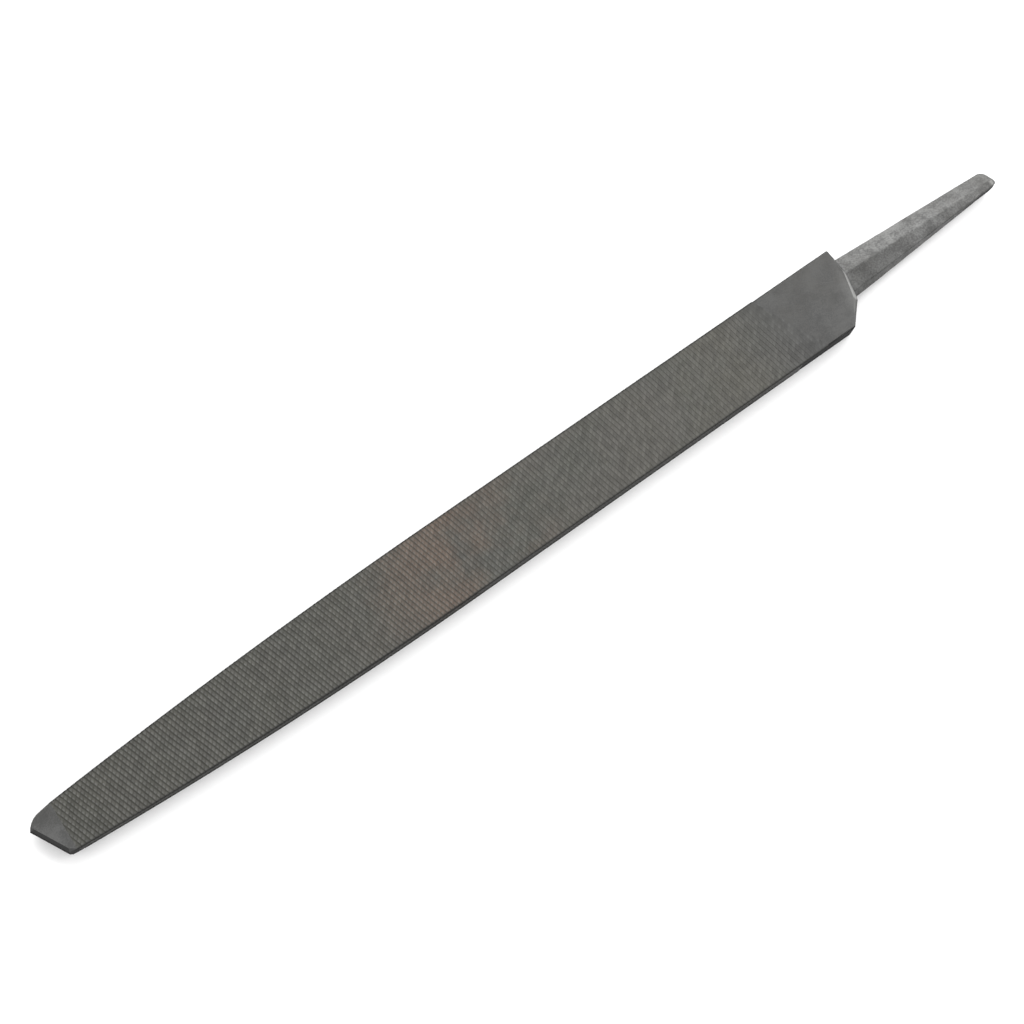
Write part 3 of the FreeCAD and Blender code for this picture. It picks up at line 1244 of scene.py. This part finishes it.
class Finish:
    """A finish of the file: it makes a material around one Principled shader."""

    name: str
    metallic: float

    def material(self, effects: Effects) -> bpy.types.Material:
        """Make the finish's material.

        Args:
            effects: The shared node groups.

        Returns:
            The material.
        """
        material = bpy.data.materials.new(self.name)
        material.use_nodes = True
        material.node_tree.nodes.clear()
        graph = Graph(material.node_tree)
        surface = graph.add("ShaderNodeBsdfPrincipled")
        graph.add("ShaderNodeOutputMaterial", {"Surface": surface.outputs[0]})
        self.dress(graph, surface, effects)
        return material

    def dress(self, graph: Graph, surface: bpy.types.Node, effects: Effects) -> None:
        """Feed the shader's sockets.

        Args:
            graph: The material's graph.
            surface: Its Principled shader.
            effects: The shared node groups.
        """
        raise NotImplementedError

    def dull(self, graph: Graph, surface: bpy.types.Node, scaled: Socket, rough: Socket) -> None:
        """Make steel dull and matt where painted shade darkens it.

        Args:
            graph: The material's graph.
            surface: Its Principled shader.
            scaled: Where the painted shade lies: the steep sides and the toothed layers' rim.
            rough: Roughness of the bare steel.
        """
        bare = graph.math("SUBTRACT", 1.0, scaled)
        graph.feed(surface.inputs["Metallic"], graph.math("MULTIPLY", bare, self.metallic))
        graph.feed(surface.inputs["Specular IOR Level"],
                   graph.math("MULTIPLY_ADD", bare, 0.4, 0.1))
        graph.feed(surface.inputs["Roughness"], graph.math("MAXIMUM", rough, scaled))


@dataclass(frozen=True)
class BareSteel(Finish):
    """Uncut grey steel, mottled and faintly scratched, with painted shade on its steep sides and,
    where switched on, a painted sheen on bevels that face the tang.
    """

    name: str = "ground_steel"
    dark: Colour = (0.068, 0.068, 0.067, 1)
    light: Colour = (0.088, 0.088, 0.086, 1)
    stain: Colour = (0.064, 0.062, 0.058, 1)
    mark: Colour = (0.100, 0.100, 0.098, 1)
    # The next colour is painted shade on the steep sides.
    scale: Colour = (0.027, 0.027, 0.027, 1)
    # The next colour is a painted sheen on bevels that face the tang.
    bevel: Colour = (0.185, 0.185, 0.181, 1)
    stain_share: float = 0.5
    patches: float = 170.0
    grains: float = 2600.0
    grain_share: float = 0.45
    marks_turn: float = 0.35
    marks_share: float = 0.4
    # The next two bound the steep faces that get painted shade.
    steep: float = 0.6
    level: float = 0.95
    # worn sets the strength of the painted sheen on bevels that face the tang.
    worn: float = 1.0
    metallic: float = 0.9
    roughness: float = 0.40
    light_roughness: float = 0.1
    bump: float = 0.25
    bump_height: float = 0.03 * MM

    def dress(self, graph: Graph, surface: bpy.types.Node, effects: Effects) -> None:
        """Feed the shader's sockets.

        Args:
            graph: The material's graph.
            surface: Its Principled shader.
            effects: The shared node groups.
        """
        tone = graph.add("ShaderNodeGroup", {
            "Dark": self.dark, "Light": self.light, "Stain": self.stain,
            "Stain share": self.stain_share, "Patch scale": self.patches,
            "Grain scale": self.grains, "Grain share": self.grain_share},
            node_tree=effects.tone)
        marks = graph.add("ShaderNodeGroup", {"Turn": self.marks_turn}, node_tree=effects.marks)
        fine = graph.math("MULTIPLY", marks.outputs["Mask"], self.marks_share)
        ground = blend(graph, fine, tone.outputs["Colour"], self.mark)
        masks = graph.add("ShaderNodeGroup", {
            "Steep": self.steep, "Level": self.level, "Worn": self.worn},
            node_tree=effects.sides)
        # Paint a sheen on the bevels that face the tang.
        with_bevel_sheen = blend(graph, masks.outputs["Bevel"], ground, self.bevel)
        # The steep sides take the painted shade colour and are made matt.
        sides = masks.outputs["Mask"]
        graph.feed(surface.inputs["Base Color"], blend(graph, sides, with_bevel_sheen, self.scale))
        rough = graph.math("MULTIPLY_ADD", tone.outputs["Tone"], self.light_roughness,
                           self.roughness)
        self.dull(graph, surface, sides, rough)
        bump = graph.add("ShaderNodeBump", {
            "Strength": self.bump, "Distance": self.bump_height,
            "Height": tone.outputs["Height"]})
        graph.feed(surface.inputs["Normal"], bump.outputs[0])


@dataclass(frozen=True)
class ToothSteel(Finish):
    """Cut teeth: dull grey with an olive tint, darker gullets, a painted glint on the tooth tips
    and a dark band of painted shade along the outline.
    """

    name: str = "toothed_steel"
    dark: Colour = (0.086, 0.087, 0.077, 1)
    light: Colour = (0.117, 0.116, 0.108, 1)
    stain: Colour = (0.154, 0.119, 0.098, 1)
    gullet: Colour = (0.071, 0.071, 0.062, 1)
    # The next colour is a painted glint on the tooth tips.
    crest: Colour = (0.142, 0.142, 0.133, 1)
    # The next colour is the dark band of painted shade along the outline.
    rim: Colour = (0.023, 0.023, 0.022, 1)
    metallic: float = 0.85
    roughness: float = 0.68
    stain_from: float = -70 * MM
    stain_to: float = 5 * MM
    # The gullets' darkening and the painted glint fade between the next two places, towards the
    # heel.
    contrast_fade_from: float = -130 * MM
    contrast_fade_to: float = 80 * MM
    plain: Colour = (0.089, 0.089, 0.088, 1)
    plain_from: float = 58 * MM
    plain_to: float = 84 * MM
    stain_least: float = 0.08
    stain_more: float = 0.85
    # The share of the gullets' darkening and the painted glint that fades away at the heel.
    contrast_fade_share: float = 0.85
    tooth_darkest: float = 0.85
    tooth_swing: float = 0.3

    def dress(self, graph: Graph, surface: bpy.types.Node, effects: Effects) -> None:
        """Feed the shader's sockets.

        Args:
            graph: The material's graph.
            surface: Its Principled shader.
            effects: The shared node groups.
        """
        place = graph.add("ShaderNodeTexCoord").outputs["Object"]
        x, _, _ = graph.split(place)
        middle = (self.stain_from + self.stain_to) / 2
        away = graph.math("ABSOLUTE", graph.math("SUBTRACT", x, middle))
        near = graph.smooth_step(away, (self.stain_to - self.stain_from) / 2, 0.0)
        tone = graph.add("ShaderNodeGroup", {
            "Dark": self.dark, "Light": self.light, "Stain": self.stain,
            "Stain share": graph.math("MULTIPLY_ADD", near, self.stain_more, self.stain_least),
            "Patch scale": 90.0, "Grain scale": 1500.0, "Grain share": 0.5},
            node_tree=effects.tone)
        crest = graph.add("ShaderNodeAttribute", attribute_name="crest").outputs["Fac"]
        tooth = graph.add("ShaderNodeAttribute", attribute_name="tooth_tone").outputs["Fac"]
        # worn grows towards the heel and fades the gullets' darkening and the painted glint.
        worn = graph.smooth_step(x, self.contrast_fade_from, self.contrast_fade_to)
        contrast_left = graph.math("MULTIPLY_ADD", worn, -self.contrast_fade_share, 1.0)
        hollow = graph.math("SUBTRACT", 1.0, graph.smooth_step(crest, 0.05, 0.55))
        ending = graph.smooth_step(x, self.plain_from, self.plain_to)
        body = blend(graph, ending, tone.outputs["Colour"], self.plain)
        flank = blend(graph, graph.math("MULTIPLY", hollow, contrast_left), body, self.gullet)
        # Paint a glint on the tooth tips.
        bright = graph.math("MULTIPLY", graph.smooth_step(crest, 0.55, 1.0), contrast_left)
        tipped = blend(graph, bright, flank, self.crest)
        shade = graph.math("MULTIPLY_ADD", tooth, self.tooth_swing, self.tooth_darkest)
        toned = blend(graph, 1.0, tipped, graph.vector(shade, shade, shade), "MULTIPLY")
        # The rim is painted dark and made matt: painted shade on the rounded edges.
        rim = graph.add("ShaderNodeAttribute", attribute_name="rim").outputs["Fac"]
        graph.feed(surface.inputs["Base Color"], blend(graph, rim, toned, self.rim))
        rough = graph.math("MULTIPLY_ADD", tone.outputs["Tone"], 0.1, self.roughness)
        self.dull(graph, surface, rim, rough)


# ---------------------------------------------------------------- stage and view


@dataclass(frozen=True)
class Lamp:
    """A soft rectangular light that faces the middle of the file."""

    name: str
    turn: float
    height: float
    distance: float
    size: tuple[float, float]
    power: float


@dataclass
class Studio:
    """A pale floor, soft lights and a camera that looks down on the file."""

    aim: Vector = field(default_factory=lambda: Vector((-12.1, 2.2, 0)) * MM)
    turn: float = 35.69
    elevation: float = 75.0
    distance: float = 301.4 * MM
    lens: float = 40.43
    floor_size: float = 30.0
    floor_colour: Colour = (0.95, 0.95, 0.95, 1)
    sky: Colour = (0.988, 0.988, 0.988, 1)
    sky_strength: float = 1.0
    lamps: tuple[Lamp, ...] = (
        Lamp("key", 5.0, 28.0, 3.0, (5.0, 2.4), 104.0),
        Lamp("side", 62.0, 34.0, 3.0, (2.4, 1.6), 44.0),
    )

    def direction(self, turn: float, height: float) -> Vector:
        """Find a direction from the file.

        Args:
            turn: Degrees clockwise from away from the viewer, seen from above.
            height: Degrees above the floor.

        Returns:
            A vector of length 1.
        """
        heading = math.radians(self.turn + turn)
        up = math.radians(height)
        return Vector((math.sin(heading) * math.cos(up), math.cos(heading) * math.cos(up),
                       math.sin(up)))

    def build(self) -> None:
        """Make the floor, the lights and the camera."""
        self._lay_floor()
        self._hang_lamps()
        self._set_camera()
        world = bpy.data.worlds.new("studio")
        world.use_nodes = True
        background = next(node for node in world.node_tree.nodes if node.type == "BACKGROUND")
        background.inputs["Color"].default_value = self.sky
        background.inputs["Strength"].default_value = self.sky_strength
        scene = bpy.context.scene
        scene.world = world
        scene.view_settings.view_transform = "Standard"

    def _lay_floor(self) -> None:
        """Lay a plain pale floor under the file."""
        half = self.floor_size / 2
        mesh = bpy.data.meshes.new("floor")
        mesh.from_pydata([(x, y, 0) for x, y in ((-half, -half), (half, -half), (half, half),
                                                 (-half, half))], [], [(0, 1, 2, 3)])
        paper = bpy.data.materials.new("paper")
        paper.use_nodes = True
        surface = paper.node_tree.nodes["Principled BSDF"]
        surface.inputs["Base Color"].default_value = self.floor_colour
        surface.inputs["Roughness"].default_value = 0.95
        surface.inputs["Specular IOR Level"].default_value = 0.1
        mesh.materials.append(paper)
        floor = bpy.data.objects.new("floor", mesh)
        bpy.context.scene.collection.objects.link(floor)

    def _hang_lamps(self) -> None:
        """Hang the soft lights round the file."""
        for lamp in self.lamps:
            light = bpy.data.lights.new(lamp.name, "AREA")
            light.shape = "RECTANGLE"
            light.size, light.size_y = lamp.size
            light.energy = lamp.power
            self._hold(light, self.direction(lamp.turn, lamp.height), lamp.distance, Vector())

    def _set_camera(self) -> None:
        """Place the camera over the near side of the file."""
        camera = bpy.data.cameras.new("camera")
        camera.lens = self.lens
        camera.clip_start = 0.01
        towards = self.direction(180.0, self.elevation)
        bpy.context.scene.camera = self._hold(camera, towards, self.distance, self.aim)

    def _hold(self, thing: bpy.types.ID, away: Vector, distance: float, aim: Vector
              ) -> bpy.types.Object:
        """Put a light or a camera in the scene, looking back at what it is aimed at.

        Args:
            thing: The light or camera.
            away: The direction in which it stands, of length 1.
            distance: How far away it stands.
            aim: What it looks at.

        Returns:
            Its object.
        """
        holder = bpy.data.objects.new(thing.name, thing)
        holder.location = aim + away * distance
        holder.rotation_euler = (-away).to_track_quat("-Z", "Y").to_euler()
        bpy.context.scene.collection.objects.link(holder)
        return holder


def main() -> None:
    """Dress the frame as a worn flat file and set the stage."""
    logging.basicConfig(level=logging.INFO, format="%(message)s")
    form = BladeForm()
    effects = Effects(tone_group(), marks_group(), shade_and_sheen_group())
    smooth = BareSteel().material(effects)
    # The point's steep sides get painted shade, and no painted bevel sheen.
    bright = BareSteel(
        name="point_steel", dark=(0.102, 0.102, 0.100, 1), light=(0.154, 0.154, 0.152, 1),
        steep=0.72, worn=0.0,
    ).material(effects)
    # On the tang only the steepest facets get painted shade.
    forged = BareSteel(
        name="forged_steel", dark=(0.057, 0.057, 0.056, 1), light=(0.112, 0.112, 0.110, 1),
        stain=(0.055, 0.054, 0.051, 1), scale=(0.031, 0.031, 0.031, 1), stain_share=0.45,
        patches=260.0, grains=1900.0, grain_share=0.5, marks_share=0.0, steep=0.05, level=0.45,
        worn=0.0, light_roughness=-0.08, bump=0.35, bump_height=0.05 * MM,
    ).material(effects)
    toothed = ToothSteel().material(effects)
    # A darker copy of the toothed steel paints shade on the narrow edges.
    shaded_edge_toothed = ToothSteel(
        name="edge_steel", dark=(0.038, 0.038, 0.036, 1), light=(0.058, 0.058, 0.054, 1),
        stain=(0.046, 0.042, 0.038, 1), gullet=(0.023, 0.023, 0.022, 1),
        crest=(0.077, 0.077, 0.073, 1),
    ).material(effects)
    teeth = teeth_tree()
    blade = Blade(form)
    for side in Side:
        blade.face(side).build(teeth, toothed)
    for edge in Edge:
        blade.edge(edge).build(teeth, shaded_edge_toothed)
    tang = Tang(form)
    Point(form).build(bright)
    Heel(form, tang).build(smooth, forged)
    tang.build(forged)
    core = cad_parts["blade_core"]
    core.data.materials.clear()
    core.data.materials.append(smooth)
    Studio().build()


if __name__ == "__main__":
    main()
